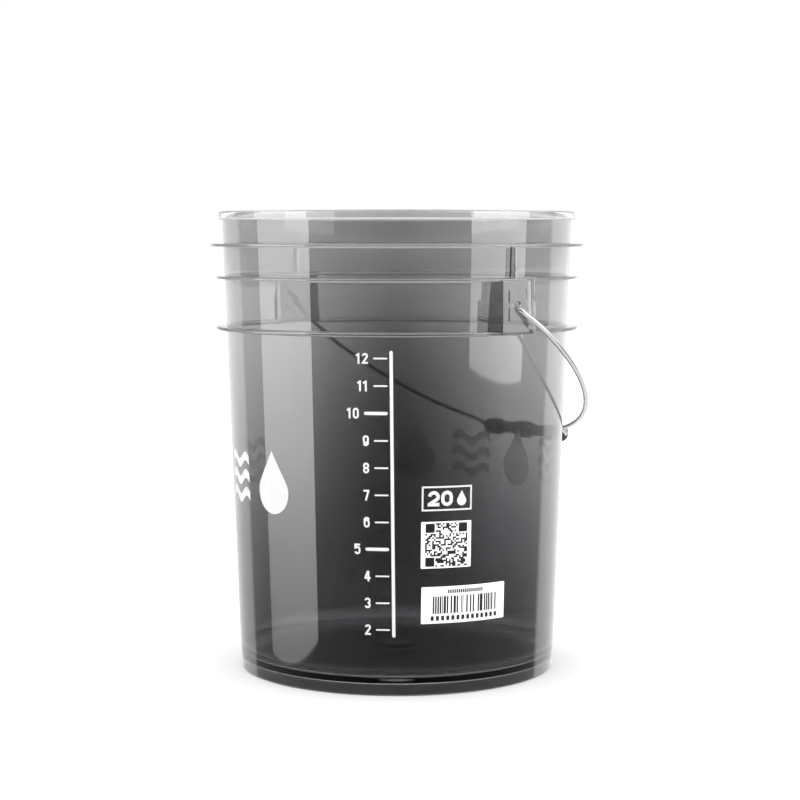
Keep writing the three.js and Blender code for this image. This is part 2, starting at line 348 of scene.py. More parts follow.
def smokedPolycarbonate():
    p = plasticSet
    material, tree = newMaterial("smoked_polycarbonate_moulded")
    place = addNode(tree, "ShaderNodeTexCoord").outputs["Object"]
    height = addNode(tree, "ShaderNodeSeparateXYZ", {0: place}).outputs[2]
    share = addNode(tree, "ShaderNodeMapRange", {0: height, 2: bucketHigh.z}).outputs[0]
    rimLow = bucketHigh.z - bucketSet["rimDepth"]
    shadedTints = []
    # the height ramps paint shade and light into the tint, darkest in the lower half of the wall
    for stops in (p["paintedFaceTints"], p["paintedSideTints"]):
        # above the rim's foot the tint turns near white: painted light on the rim
        top = [(rimLow - 0.4 * mm, stops[-1][1]), (rimLow, p["rimPaintedLight"])]
        ramp = addNode(tree, "ShaderNodeValToRGB", {0: share})
        setStops(ramp, [(z / bucketHigh.z, linearColour(shadedTint)) for z, shadedTint in stops + top])
        shadedTints.append(ramp.outputs[0])
    # Layer Weight's Facing mixes in the paler side tints: painted light where the wall turns away from the
    # eye
    facing = addNode(tree, "ShaderNodeLayerWeight", {"Blend": 0.5}).outputs["Facing"]
    turned = addNode(tree, "ShaderNodeMapRange", {0: facing, 2: p["turnedAway"]})
    sideLightShare = addNode(tree, "ShaderNodeMath", {0: turned.outputs[0], 1: p["turnedEase"]},
                    operation="POWER")
    shadedTint = addNode(tree, "ShaderNodeMix", {0: sideLightShare.outputs[0], 6: shadedTints[0], 7: shadedTints[1]},
                   data_type="RGBA")
    stretched = addNode(tree, "ShaderNodeMapping", {0: place, 3: (14, 14, 2)})
    flow = addNode(tree, "ShaderNodeTexNoise", {0: stretched.outputs[0], "Scale": 2.0, "Detail": 3.0})
    streaks = addNode(tree, "ShaderNodeMapRange", {0: flow.outputs[0], 3: 0.95, 4: 1.04})
    flowed = addNode(tree, "ShaderNodeVectorMath", {0: shadedTint.outputs[2], 3: streaks.outputs[0]},
                     operation="SCALE")
    wiped = addNode(tree, "ShaderNodeTexNoise", {0: place, "Scale": 22.0, "Detail": 6.0})
    rough = addNode(tree, "ShaderNodeMapRange", {0: wiped.outputs[0], 3: 0.012, 4: 0.05})
    waves = addNode(tree, "ShaderNodeTexNoise", {0: place, "Scale": 9.0, "Detail": 1.0})
    ripple = addNode(tree, "ShaderNodeBump", {"Strength": 0.12, "Distance": 0.15 * mm,
                                              "Height": waves.outputs[0]})
    plastic = addNode(tree, "ShaderNodeBsdfPrincipled", {
        "Base Color": flowed.outputs[0], "Roughness": rough.outputs[0], "IOR": p["ior"],
        "Transmission Weight": 1.0, "Normal": ripple.outputs[0]})
    through = addNode(tree, "ShaderNodeBsdfTransparent", {"Color": linearColour(p["shadowTint"])})
    lamp = addNode(tree, "ShaderNodeLightPath").outputs["Is Shadow Ray"]
    mixed = addNode(tree, "ShaderNodeMixShader",
                    {0: lamp, 1: plastic.outputs[0], 2: through.outputs[0]})
    addNode(tree, "ShaderNodeOutputMaterial", {"Surface": mixed.outputs[0]})
    return material


# Zinc-plated drawn steel wire: bright and slightly grey, with fine drawing lines that soften its shine.
def zincPlatedWire():
    material, tree = newMaterial("zinc_plated_drawn_wire")
    place = addNode(tree, "ShaderNodeTexCoord").outputs["Object"]
    cloud = addNode(tree, "ShaderNodeTexNoise", {0: place, "Scale": 260.0, "Detail": 4.0})
    tone = addNode(tree, "ShaderNodeMix",
                   {0: cloud.outputs[0], 6: linearColour("B9B7B4"), 7: linearColour("DAD8D5")},
                   data_type="RGBA")
    grain = addNode(tree, "ShaderNodeTexNoise", {0: place, "Scale": 1400.0, "Detail": 2.0})
    rough = addNode(tree, "ShaderNodeMapRange", {0: grain.outputs[0], 3: 0.14, 4: 0.3})
    lines = addNode(tree, "ShaderNodeBump", {"Strength": 0.3, "Distance": 0.02 * mm,
                                             "Height": grain.outputs[0]})
    steel = addNode(tree, "ShaderNodeBsdfPrincipled", {
        "Base Color": tone.outputs[2], "Metallic": 1.0, "Roughness": rough.outputs[0],
        "Normal": lines.outputs[0]})
    addNode(tree, "ShaderNodeOutputMaterial", {"Surface": steel.outputs[0]})
    return material


# Black polyethylene, moulded against a spark-eroded tool: deep black with a fine even grain.
def blackPolyethylene():
    material, tree = newMaterial("black_polyethylene_grained")
    place = addNode(tree, "ShaderNodeTexCoord").outputs["Object"]
    grain = addNode(tree, "ShaderNodeTexNoise", {0: place, "Scale": 1100.0, "Detail": 3.0})
    worn = addNode(tree, "ShaderNodeTexNoise", {0: place, "Scale": 60.0, "Detail": 4.0})
    tone = addNode(tree, "ShaderNodeMix",
                   {0: worn.outputs[0], 6: linearColour("0F0F10"), 7: linearColour("1E1E20")},
                   data_type="RGBA")
    rough = addNode(tree, "ShaderNodeMapRange", {0: worn.outputs[0], 3: 0.38, 4: 0.55})
    pits = addNode(tree, "ShaderNodeBump", {"Strength": 0.4, "Distance": 0.05 * mm,
                                            "Height": grain.outputs[0]})
    black = addNode(tree, "ShaderNodeBsdfPrincipled", {
        "Base Color": tone.outputs[2], "Roughness": rough.outputs[0], "IOR": 1.51,
        "Normal": pits.outputs[0]})
    addNode(tree, "ShaderNodeOutputMaterial", {"Surface": black.outputs[0]})
    return material


# Printed layers: screen ink, label film and label ink. Each is matte beside the plastic and
# slightly uneven, as a dried film is, and the white ones glow a little against the light.
def printedLayer(name, darkHex, lightHex, roughLow, roughHigh, lightThrough=0.0):
    material, tree = newMaterial(name)
    place = addNode(tree, "ShaderNodeTexCoord").outputs["Object"]
    film = addNode(tree, "ShaderNodeTexNoise", {0: place, "Scale": 90.0, "Detail": 5.0})
    tone = addNode(tree, "ShaderNodeMix",
                   {0: film.outputs[0], 6: linearColour(darkHex), 7: linearColour(lightHex)},
                   data_type="RGBA")
    rough = addNode(tree, "ShaderNodeMapRange", {0: film.outputs[0], 3: roughLow, 4: roughHigh})
    weave = addNode(tree, "ShaderNodeTexNoise", {0: place, "Scale": 900.0, "Detail": 2.0})
    bump = addNode(tree, "ShaderNodeBump", {"Strength": 0.15, "Distance": 0.02 * mm,
                                            "Height": weave.outputs[0]})
    layer = addNode(tree, "ShaderNodeBsdfPrincipled", {
        "Base Color": tone.outputs[2], "Roughness": rough.outputs[0], "IOR": 1.5,
        "Normal": bump.outputs[0]})
    shown = layer
    if lightThrough:
        back = addNode(tree, "ShaderNodeBsdfTranslucent", {"Color": tone.outputs[2]})
        shown = addNode(tree, "ShaderNodeMixShader",
                        {0: lightThrough, 1: layer.outputs[0], 2: back.outputs[0]})
    addNode(tree, "ShaderNodeOutputMaterial", {"Surface": shown.outputs[0]})
    return material


# The bucket: a spun moulding with two ears.
bucketSet = {
    "footRadius": 127.4 * mm, "draft": 0.0373, "wall": 2.2 * mm, "steps": 288,
    "footWidth": 3.0 * mm, "footCorner": 1.5 * mm, "floorUnder": 9.5 * mm, "floorTop": 12.5 * mm,
    "floorCorner": 8 * mm, "gateRadius": 17 * mm, "gateRise": 4 * mm, "gateSlope": 2 * mm,
    "rimRadius": 143.6 * mm, "rimDepth": 6.7 * mm, "rimRound": 1.4 * mm,
    "fillet": 0.7 * mm, "wallSpacing": 12 * mm,
    "rings": [  # height, thickness and radius, from the lowest up
        (275.7 * mm, 2.9 * mm, 146.25 * mm),
        (316.0 * mm, 2.3 * mm, 145.9 * mm),
        (341.8 * mm, 2.3 * mm, bucketHigh.y),
    ],
}

earSet = {
    "face": 147 * mm, "plate": 2.8 * mm, "halfWidth": 15 * mm, "footHalfWidth": 27 * mm,
    "side": 2.4 * mm, "slotWidth": 7 * mm, "slotHeight": 8.6 * mm, "slotZ": 295.8 * mm,
    "padHalf": 8.65 * mm, "padLow": 285 * mm, "padHigh": 308.4 * mm, "padRise": 0.5 * mm,
    "ribThickness": 3 * mm, "ribTip": 145.4 * mm, "round": 0.9 * mm,
    "groove": 0.8 * mm,
    "grooves": [  # y, z, width and height of each narrow line cut round the pad
        (-9.2 * mm, 285 * mm, 0.7 * mm, 24 * mm), (8.5 * mm, 285 * mm, 0.7 * mm, 24 * mm),
        (-9.2 * mm, 308.3 * mm, 18.4 * mm, 0.7 * mm),
    ],
}


plasticMaterial = smokedPolycarbonate()
wireMaterial = zincPlatedWire()
gripMaterial = blackPolyethylene()
screenInk = printedLayer("white_screen_ink", "F0F0EF", "FFFFFF", 0.42, 0.6, lightThrough=0.64)
labelFilm = printedLayer("white_label_film", "F2F2F0", "FDFDFC", 0.35, 0.5, lightThrough=0.3)
labelInk = printedLayer("black_label_ink", "050505", "0F0F0F", 0.4, 0.55)
print("materials ready")


def wallRadius(z):
    return bucketSet["footRadius"] + bucketSet["draft"] * z


def innerRadius(z):
    return wallRadius(z) - bucketSet["wall"]


def ringPoints(z, thickness, radius):  # a ring with a rounded nose and small fillets at the wall
    low, high, nose = z - thickness / 2, z + thickness / 2, 0.45 * thickness
    fillet = bucketSet["fillet"]
    return [
        (wallRadius(low - fillet), low - fillet),
        *arc(wallRadius(low) + fillet, low - fillet, fillet, 180, 90, 4)[1:],
        *arc(radius - nose, low + nose, nose, -90, 0, 4),
        *arc(radius - nose, high - nose, nose, 0, 90, 4),
        *arc(wallRadius(high) + fillet, high + fillet, fillet, 270, 180, 4),
    ]


def wallPoints(low, high, radiusAt):  # points up or down the wall, so that it shades evenly
    count = max(1, round(abs(high - low) / bucketSet["wallSpacing"]))
    heights = [low + (high - low) * i / count for i in range(1, count)]
    return [(radiusAt(z), z) for z in heights]


def bucketOutline():
    b = bucketSet
    footInside = b["footRadius"] - b["footWidth"]
    height = bucketHigh.z
    rimLow, turn = height - b["rimDepth"], b["rimRound"]
    cornerZ = b["floorTop"] + b["floorCorner"]
    cornerX = innerRadius(cornerZ) - b["floorCorner"]
    outline = [
        (0, b["floorUnder"] + b["gateRise"]),
        (b["gateRadius"] - 3 * mm, b["floorUnder"] + b["gateRise"]),
        (b["gateRadius"] - 3 * mm + b["gateSlope"], b["floorUnder"]),
        *arc(footInside - 1.3 * mm, b["floorUnder"] - 1 * mm, 1 * mm, 90, 0, 4),
        *arc(footInside + 0.4 * mm, 0.4 * mm, 0.4 * mm, 180, 270, 3),
        *arc(b["footRadius"] - b["footCorner"], b["footCorner"], b["footCorner"], -90, 0, 6),
    ]
    last = b["footCorner"]
    for z, thickness, radius in b["rings"]:
        ring = ringPoints(z, thickness, radius)
        outline += wallPoints(last, ring[0][1], wallRadius) + ring
        last = ring[-1][1]
    fillet = b["fillet"]
    outline += wallPoints(last, rimLow - fillet, wallRadius)
    outline += arc(wallRadius(rimLow) + fillet, rimLow - fillet, fillet, 180, 90, 4)
    outline += arc(b["rimRadius"] - 0.8 * mm, rimLow + 0.8 * mm, 0.8 * mm, -90, 0, 4)
    outline += arc(b["rimRadius"] - turn, height - turn, turn, 0, 90, 5)
    outline += arc(innerRadius(height) + turn, height - turn, turn, 90, 180, 5)
    outline += wallPoints(height - turn, cornerZ, innerRadius)
    outline += arc(cornerX, cornerZ, b["floorCorner"], 0, -90, 10)
    outline += [
        (b["gateRadius"] + b["gateSlope"], b["floorTop"]),
        *arc(b["gateRadius"] - 1 * mm, b["floorTop"] + b["gateRise"] - 1 * mm, 1 * mm, 30, 90, 3),
        (0, b["floorTop"] + b["gateRise"]),
    ]
    return outline


def spinTree():  # carries a profile, drawn as edges in the XY plane, round the Z axis
    tree, given = geometryTree("spin profile", {"Steps": "Int", "Reach": "Float", "Material": "Material"})
    profile = addNode(tree, "GeometryNodeMeshToCurve", {0: given["Geometry"]})
    ring = addNode(tree, "GeometryNodeCurvePrimitiveCircle",
                   {"Resolution": given["Steps"], "Radius": given["Reach"]})
    upright = addNode(tree, "GeometryNodeSetCurveNormal", {0: ring.outputs[0]}, mode="Z_UP")
    swept = addNode(tree, "GeometryNodeCurveToMesh",
                    {"Curve": upright.outputs[0], "Profile Curve": profile.outputs[0]})
    closed = addNode(tree, "GeometryNodeMergeByDistance", {0: swept.outputs[0], "Distance": 0.004 * mm})
    endTree(tree, closed.outputs[0], given["Material"])
    return tree


spinProfile = spinTree()


def spun(name, outline, steps, material, closedLoop=False):
    reach = 1.0  # of the guide circle; the outline is measured from it
    points = [(x - reach, -z, 0) for x, z in outline]
    edges = [(i, i + 1) for i in range(len(points) - 1)]
    if closedLoop:
        edges.append((len(points) - 1, 0))
    start = meshFrom(name + "Outline", points, edges=edges)
    return grown(name, spinProfile, start, {"Steps": steps, "Reach": reach, "Material": material})


def wallCone(name, offset, low, high):
    outline = [(0, low), (wallRadius(low) + offset, low), (wallRadius(high) + offset, high), (0, high)]
    return tidied(spun(name, outline, bucketSet["steps"], plasticMaterial))


def slotCutter():
    e = earSet
    half, lift = e["slotWidth"] / 2, (e["slotHeight"] - e["slotWidth"]) / 2
    outline = arc(0, lift, half, 0, 180, 16) + arc(0, -lift, half, 180, 360, 16)
    cutter = prism(outline, 0, 4 * e["plate"])
    cutter.transform(Matrix.Translation((e["face"] - 2 * e["plate"], 0, e["slotZ"]))
                     @ Matrix(((0, 0, 1, 0), (1, 0, 0, 0), (0, 1, 0, 0), (0, 0, 0, 1))))
    return tidied(cutter)


def earParts():
    e = earSet
    lowRing, upRing, topRing = bucketSet["rings"]
    footX = math.sqrt(wallRadius(e["slotZ"]) ** 2 - e["footHalfWidth"] ** 2)
    rootX, back = footX - 8 * mm, e["face"] - e["plate"]
    slope = (e["face"] - footX) / (e["footHalfWidth"] - e["halfWidth"])
    innerHalf = e["halfWidth"] - 0.4 * mm - e["side"]
    outerFoot = e["halfWidth"] + (e["face"] - rootX) / slope
    innerFoot = innerHalf + (back - rootX) / slope
    outer = [(rootX, -outerFoot), (e["face"], -e["halfWidth"]), (e["face"], e["halfWidth"]),
             (rootX, outerFoot)]
    inner = [(rootX, -innerFoot), (back, -innerHalf), (back, innerHalf), (rootX, innerFoot)]
    block = withBevel("ear", tidied(prism(outer, lowRing[0], upRing[0])), e["round"])
    pad = [(back + 1 * mm, -e["padHalf"]), (e["face"] + e["padRise"], -e["padHalf"]),
           (e["face"] + e["padRise"], e["padHalf"]), (back + 1 * mm, e["padHalf"])]
    padBlock = withBevel("pad", tidied(prism(pad, e["padLow"], e["padHigh"])), 0.25 * mm, 2)
    ribRoot = wallRadius(upRing[0]) - bucketSet["wall"] / 2
    half = e["ribThickness"] / 2
    ribLine = [(ribRoot, -half), (e["ribTip"], -half), (e["ribTip"], half), (ribRoot, half)]
    rib = withBevel("rib", tidied(prism(ribLine, upRing[0], topRing[0])), 0.5 * mm)
    pocket = tidied(prism(inner, lowRing[0] - lowRing[1], upRing[0] - upRing[1] / 2))
    grooves = []
    low, high = e["face"] - e["groove"], e["face"] + e["groove"]
    for y, z, wide, tall in e["grooves"]:
        line = prism([(low, y), (high, y), (high, y + wide), (low, y + wide)], z, z + tall)
        grooves.append(("DIFFERENCE", tidied(line)))
    shell = carved("earShell", tidied(block), [
        ("DIFFERENCE", wallCone("wallMiddle", -bucketSet["wall"] / 2, 0.25, 0.35)),
        ("UNION", tidied(padBlock)), *grooves, ("UNION", tidied(rib))])
    hollow = carved("earHollow", pocket, [
        ("DIFFERENCE", wallCone("wallOutside", 0.04 * mm, 0.25, 0.35)), ("UNION", slotCutter())])
    return shell, hollow


def makeBucket():
    body = tidied(spun("bucketBody", bucketOutline(), bucketSet["steps"], plasticMaterial))
    cuts = []
    for turn in (0, math.pi):
        shell, hollow = earParts()
        for operation, part in (("UNION", shell), ("DIFFERENCE", hollow)):
            part.transform(Matrix.Rotation(turn, 4, "Z"))
            cuts.append((operation, part))
    mesh = evenlyShaded("bucket", carved("bucket", body, cuts))
    piece = newObject("bucket", mesh, plasticMaterial)
    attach(piece, "bucket")
    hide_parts("bucket_moulding")
    print("bucket made")
    return piece


# The bail wire and its grip.
bailSet = {
    "radius": 2 * mm, "sides": 24, "bend": 4 * mm, "armX": 150 * mm, "hookX": 141.6 * mm,
    "hookLength": 11.5 * mm, "shoulderX": 154 * mm, "shoulderReach": 29 * mm, "archRise": 151 * mm,
    "seatHalf": 48 * mm, "kneeX": 54.5 * mm,
}
seatReach = (seat - pivot).length
outward = (seat - pivot).normalized()  # from the pivot line to the seat, along the bail's plane


def bezier(a, b, c, d, steps):
    points = []
    for i in range(steps + 1):
        t = i / steps
        weights = ((1 - t) ** 3, 3 * t * (1 - t) ** 2, 3 * t * t * (1 - t), t ** 3)
        points.append(tuple(sum(w * p[k] for w, p in zip(weights, (a, b, c, d))) for k in (0, 1)))
    return points


def halfBail():  # (x, reach) pairs from the hooked end behind the +X ear to the seat
    b = bailSet
    bend, shoulderX, shoulderReach = b["bend"], b["shoulderX"], b["shoulderReach"]
    kneeAngle = math.acos(b["kneeX"] / shoulderX)
    tangent = Vector((math.sin(kneeAngle) * shoulderX, -math.cos(kneeAngle) * b["archRise"])).normalized()
    knee = (b["kneeX"], shoulderReach + b["archRise"] * math.sin(kneeAngle))
    seatEnd = (b["seatHalf"], seatReach)
    hook = [(b["hookX"], -b["hookLength"]), *arc(b["hookX"] + bend, -bend, bend, 180, 90, 12)]
    leave = arc(b["armX"] - bend, bend, bend, -90, 0, 12)
    arm = bezier((b["armX"], bend), (b["armX"], 12 * mm), (shoulderX, 16 * mm),
                 (shoulderX, shoulderReach), 12)
    arch = [(shoulderX * math.cos(kneeAngle * i / 40),
             shoulderReach + b["archRise"] * math.sin(kneeAngle * i / 40)) for i in range(1, 41)]
    step = bezier(knee, (knee[0] - 5 * mm * tangent.x, knee[1] - 5 * mm * tangent.y),
                  (seatEnd[0] + 5 * mm, seatEnd[1]), seatEnd, 12)
    return hook + leave + arm[1:] + arch + step[1:]


def wireTree():  # a round wire along the edges it is given
    tree, given = geometryTree("round wire", {"Radius": "Float", "Sides": "Int", "Material": "Material"})
    line = addNode(tree, "GeometryNodeMeshToCurve", {0: given["Geometry"]})
    section = addNode(tree, "GeometryNodeCurvePrimitiveCircle",
                      {"Resolution": given["Sides"], "Radius": given["Radius"]})
    wire = addNode(tree, "GeometryNodeCurveToMesh",
                   {"Curve": line.outputs[0], "Profile Curve": section.outputs[0], "Fill Caps": True})
    endTree(tree, wire.outputs[0], given["Material"])
    return tree


def makeBail():
    half = halfBail()
    line = half + [(-x, reach) for x, reach in reversed(half)]
    points = [pivot + Vector((x, 0, 0)) + outward * reach for x, reach in line]
    start = meshFrom("bailLine", points, edges=[(i, i + 1) for i in range(len(points) - 1)])
    mesh = grown("bail", wireTree(), start, {
        "Radius": bailSet["radius"], "Sides": bailSet["sides"], "Material": wireMaterial})
    piece = newObject("bail", tidied(mesh), wireMaterial)
    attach(piece, "bail")
    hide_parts("bail_wire")
    print("bail made")
    return piece


gripSet = {
    "half": 46 * mm, "bore": 2.6 * mm, "strap": 5.2 * mm, "collar": 6.8 * mm,
    "collarLength": 16 * mm, "middle": 7.1 * mm, "middleHalf": 8 * mm, "steps": 64,
}


def makeGrip():
    g = gripSet
    gapEnd, turn = g["half"] - g["collarLength"], 1.0 * mm
    right = [
        (g["middle"], 0),
        *arc(g["middle"] - turn, g["middleHalf"] - turn, turn, 0, 90, 5),
        (g["strap"], g["middleHalf"]),
        (g["strap"], gapEnd),
        *arc(g["collar"] - turn, gapEnd + turn, turn, -90, 0, 5),
        *arc(g["collar"] - turn, g["half"] - turn, turn, 0, 90, 5),
        (g["bore"], g["half"]),
    ]
    left = [(radius, -x) for radius, x in reversed(right)]
    outline = left + right[1:]
    sleeve = tidied(spun("gripSleeve", outline, g["steps"], gripMaterial, closedLoop=True))
    far = 2 * g["middle"]
    cuts = []
    for low, high in ((-gapEnd, -g["middleHalf"]), (g["middleHalf"], gapEnd)):
        box = prism([(0, -far), (far, -far), (far, far), (0, far)], low, high)
        cuts.append(("DIFFERENCE", tidied(box)))
    mesh = tidied(withBevel("grip", tidied(carved("grip", sleeve, cuts)), 0.35 * mm, 2, 45))
    # the sleeve was made along Z with its open side on +X; lay it along the seat, open side outwards
    side = Vector((1, 0, 0)).cross(outward)
    turned = Matrix((outward, side, Vector((1, 0, 0)))).transposed().to_4x4()
    mesh.transform(Matrix.Translation(seat) @ turned)
    piece = newObject("grip", tidied(mesh), gripMaterial)
    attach(piece, "grip")
    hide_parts("hand_grip")
    print("grip made")
    return piece


# Every mark is drawn flat first: x is the distance round the wall, y the height and z the layer's
# thickness. onWall() then lays it on the wall. Azimuths are degrees from +X.
inkSet = {"thickness": 0.06 * mm, "lift": 0.03 * mm, "slice": 2.5 * mm}


def sliced(mesh, spacing):  # cuts a flat mark into strips, so that it can bend round the wall
    least = min(v.co.x for v in mesh.vertices)
    most = max(v.co.x for v in mesh.vertices)

    def cut(work):
        for i in range(math.ceil(least / spacing), math.floor(most / spacing) + 1):
            bmesh.ops.bisect_plane(work, geom=[*work.verts, *work.edges, *work.faces],
                                   dist=1e-7, plane_co=(i * spacing, 0, 0), plane_no=(1, 0, 0))
    return edited(mesh, cut)


def onWall(mesh, azimuth, height, lift=inkSet["lift"], lean=0.0):
    sliced(mesh, inkSet["slice"])
    for v in mesh.vertices:
        z = height + v.co.y
        angle = math.radians(azimuth) + (v.co.x + lean * v.co.y) / wallRadius(z)
        radius = wallRadius(z) + lift + v.co.z
        v.co = (radius * math.cos(angle), radius * math.sin(angle), z)
    mesh.update()
    return tidied(mesh)


def moved(mesh, x, y, z=0.0):
    mesh.transform(Matrix.Translation((x, y, z)))
    return mesh


def joined(meshes):
    work = bmesh.new()
    for mesh in meshes:
        work.from_mesh(mesh)
    result = bpy.data.meshes.new("joined")
    work.to_mesh(result)
    work.free()
    return result


def markTree():  # a grid of small printed bars; a random share of them is left out
    tree, given = geometryTree("printed marks", {
        "Columns": "Int", "Rows": "Int", "Column Pitch": "Float", "Row Pitch": "Float",
        "Bar Width": "Float", "Bar Height": "Float", "Corner": "Float", "Kept Share": "Float",
        "Seed": "Int", "Ink": "Float", "Material": "Material"})
    across = addNode(tree, "ShaderNodeCombineXYZ", {0: given["Column Pitch"]})
    row = addNode(tree, "GeometryNodeMeshLine", {"Count": given["Columns"], "Offset": across.outputs[0]})
    rise = addNode(tree, "ShaderNodeCombineXYZ", {1: given["Row Pitch"]})
    column = addNode(tree, "GeometryNodeMeshLine", {"Count": given["Rows"], "Offset": rise.outputs[0]})
    lattice = addNode(tree, "GeometryNodeInstanceOnPoints",
                      {"Points": column.outputs[0], "Instance": row.outputs[0]})
    spots = addNode(tree, "GeometryNodeRealizeInstances", {0: lattice.outputs[0]})
    chosen = addNode(tree, "FunctionNodeRandomValue",
                     {"Probability": given["Kept Share"], "Seed": given["Seed"]}, data_type="BOOLEAN")
    outline = addNode(tree, "GeometryNodeCurvePrimitiveQuadrilateral",
                      {"Width": given["Bar Width"], "Height": given["Bar Height"]})
    rounded = addNode(tree, "GeometryNodeFilletCurve",
                      {"Curve": outline.outputs[0], "Count": 4, "Radius": given["Corner"]}, mode="POLY")
    filled = addNode(tree, "GeometryNodeFillCurve", {0: rounded.outputs[0]}, mode="NGONS")
    marks = addNode(tree, "GeometryNodeInstanceOnPoints",
                    {"Points": spots.outputs[0], "Selection": chosen.outputs[3],
                     "Instance": filled.outputs[0]})
    flat = addNode(tree, "GeometryNodeRealizeInstances", {0: marks.outputs[0]})
    raised = addNode(tree, "GeometryNodeExtrudeMesh",
                     {"Mesh": flat.outputs[0], "Offset Scale": given["Ink"], "Individual": False})
    under = addNode(tree, "GeometryNodeFlipFaces", {0: flat.outputs[0]})
    whole = addNode(tree, "GeometryNodeJoinGeometry")
    tree.links.new(raised.outputs[0], whole.inputs[0])
    tree.links.new(under.outputs[0], whole.inputs[0])
    welded = addNode(tree, "GeometryNodeMergeByDistance", {0: whole.outputs[0], "Distance": 0.001 * mm})
    endTree(tree, welded.outputs[0], given["Material"])
    return tree


printedMarks = markTree()


def bars(material, width, height, columns=1, rows=1, pitch=(0.0, 0.0), corner=0.0, kept=1.0, seed=1,
         thickness=inkSet["thickness"]):  # a lattice of bars centred on the middle of the flat mark
    mesh = grown("bars", printedMarks, meshFrom("bars", [(0, 0, 0)]), {
        "Columns": columns, "Rows": rows, "Column Pitch": pitch[0], "Row Pitch": pitch[1],
        "Bar Width": width, "Bar Height": height, "Corner": corner, "Kept Share": kept,
        "Seed": seed, "Ink": thickness, "Material": material})
    return moved(mesh, -(columns - 1) * pitch[0] / 2, -(rows - 1) * pitch[1] / 2)


def thickened(mesh, thickness=inkSet["thickness"]):  # gives a flat filled shape its layer of ink
    def raiseFaces(work):
        bmesh.ops.remove_doubles(work, verts=work.verts, dist=0.001 * mm)
        top = bmesh.ops.extrude_face_region(work, geom=list(work.faces))
        raised = [v for v in top["geom"] if isinstance(v, bmesh.types.BMVert)]
        bmesh.ops.translate(work, verts=raised, vec=(0, 0, thickness))
    return edited(mesh, raiseFaces)


def filledShape(outline):
    points = [(x, y, 0) for x, y in outline]
    return thickened(meshFrom("shape", points, faces=[tuple(range(len(points)))]))


figureSet = {"height": 8.1 * mm, "width": 4.6 * mm, "stroke": 1.42 * mm, "space": 0.75 * mm}


def strokeTree():  # a flat bar of ink along the edges it is given
    tree, given = geometryTree("ink stroke", {"Width": "Float", "Ink": "Float", "Material": "Material"})
    line = addNode(tree, "GeometryNodeMeshToCurve", {0: given["Geometry"]})
    level = addNode(tree, "GeometryNodeSetCurveNormal", {0: line.outputs[0]}, mode="Z_UP")
    section = addNode(tree, "GeometryNodeCurvePrimitiveQuadrilateral",
                      {"Width": given["Width"], "Height": given["Ink"]})
    bar = addNode(tree, "GeometryNodeCurveToMesh",
                  {"Curve": level.outputs[0], "Profile Curve": section.outputs[0], "Fill Caps": True})
    endTree(tree, bar.outputs[0], given["Material"])
    return tree


inkStroke = strokeTree()


def figureStrokes(half, reach, end):  # each stroke is its points and whether it closes
    top, bottom = reach - half, half - reach
    ring = arc(0, top, half, 0, 180, 12) + arc(0, bottom, half, 180, 360, 12)
    bowl = arc(0, 0, half, 0, 180, 12) + arc(0, bottom, half, 180, 360, 12)
    six = [(bowl, True), (arc(0, top, half, 10, 180, 12) + [(-half, bottom)], False)]
    return {
        "0": [(ring, True)],
        "1": [([(0.3 * half, -reach - end), (0.3 * half, reach + end)], False),
              ([(-0.95 * half, 0.62 * reach), (0.3 * half, reach - 0.1 * half)], False)],
        "2": [(arc(0, top, half, 170, -25, 16) + [(-0.9 * half, -reach + 0.4 * end)], False),
              ([(-half - end, -reach), (half + 0.8 * end, -reach)], False)],
        "3": [(arc(0, top, half, 170, 0, 12) + arc(0, half, half, 0, -90, 8), False),
              (arc(0, -half, half, 90, 0, 8) + arc(0, bottom, half, 0, -170, 12), False)],
        "4": [([(0.5 * half, -reach - end), (0.5 * half, reach + end)], False),
              ([(0.3 * half, reach + 0.6 * end), (-half, -0.35 * reach)], False),
              ([(-half - end, -0.42 * reach), (half + 1.3 * end, -0.42 * reach)], False)],
        "5": [([(-half - end, reach), (half + 0.7 * end, reach)], False),
              ([(-half, reach + end), (-half, 0.05 * reach)], False),
              (arc(0, 0, half, 155, 0, 12) + arc(0, bottom, half, 0, -170, 12), False)],
        "6": six,
        "7": [([(-half - 0.8 * end, reach), (half + end, reach)], False),
              ([(half, reach), (-0.3 * half, -reach - end)], False)],
        "8": [(arc(0, top, half, 0, 180, 12) + arc(0, half, half, 180, 360, 12), True),
              (arc(0, -half, half, 0, 180, 12) + arc(0, bottom, half, 180, 360, 12), True)],
        "9": [([(-x, -y) for x, y in points], closed) for points, closed in six],
    }


def strokeBar(points, closed, width, thickness):
    edges = [(i, i + 1) for i in range(len(points) - 1)]
    if closed:
        points = points[:-1]
        edges = edges[:-1] + [(len(points) - 1, 0)]
        edges = [edge for edge in edges if max(edge) < len(points)]
    start = meshFrom("stroke", [(x, y, thickness / 2) for x, y in points], edges=edges)
    bar = grown("stroke", inkStroke, start, {"Width": width, "Ink": thickness, "Material": screenInk})
    return tidied(bar)


def figures(text, height, wider=1.0, bolder=1.0):  # numbers in a narrow hand, centred on themselves
    scale = height / figureSet["height"]
    stroke, width = figureSet["stroke"] * scale * bolder, figureSet["width"] * scale * wider
    strokes = figureStrokes((width - stroke) / 2, (height - stroke) / 2, stroke / 2)
    placed, x = [], 0.0
    for figure in text:
        advance = width * (0.8 if figure == "1" else 1.0)
        made = [strokeBar(points, closed, stroke, inkSet["thickness"])
                for points, closed in strokes[figure]]
        whole = carved("figure", made[0], [("UNION", bar) for bar in made[1:]])
        placed.append(moved(whole, x + advance - width / 2, 0))
        x += advance + figureSet["space"] * scale
    wide = x - figureSet["space"] * scale
    return moved(joined(placed), -wide / 2, 0), wide


def finishPrint(name, mesh, material):
    mesh.name = name
    piece = newObject(name, mesh, material)
    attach(piece, "bucket")
    return piece


